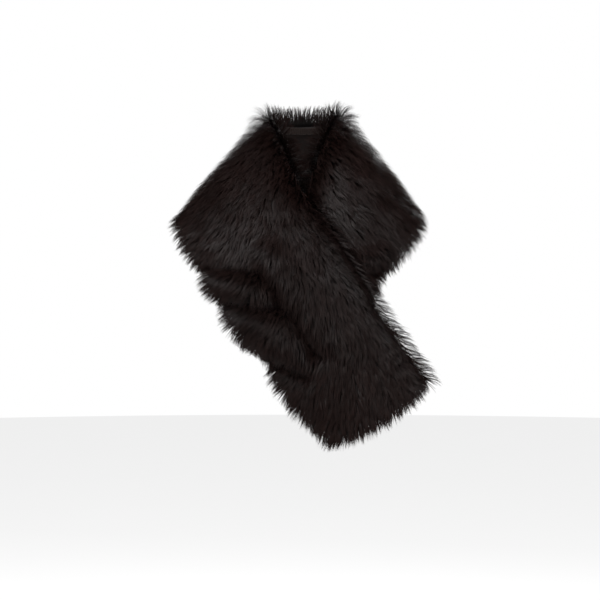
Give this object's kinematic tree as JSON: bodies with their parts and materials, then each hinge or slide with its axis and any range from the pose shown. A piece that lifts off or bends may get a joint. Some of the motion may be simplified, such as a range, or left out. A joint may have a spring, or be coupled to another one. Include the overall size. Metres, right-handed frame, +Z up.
{
  "type": "fur collar wrap",
  "caption": "Dark long-pile fur stole worn crossed over at the front, hollow as on the neck and shoulders, with a smooth lining showing at the nape",
  "frame": {"origin": "on the axis of the wearer's neck, level with the bottom of the V where the two fronts cross", "axes": "+Z up, +Y towards the wearer's back, +X towards the wearer's left; the fronts face -Y"},
  "size_m": [0.416, 0.2935, 0.5435],
  "materials": {
    "fur": "long dense fur pile, brown-black with a redder root and greyer tips, soft sheen",
    "lining": "smooth dark brown-grey satin lining",
    "band": "fine ribbed facing, a little lighter than the lining"
  },
  "bodies": {
    "root": {"fur_front_over": "fur", "fur_back": "fur", "fur_front_under": "fur", "lining_front_over": "lining", "lining_back": "lining", "lining_front_under": "lining", "neck_band": "band"}
  },
  "joints": []
}
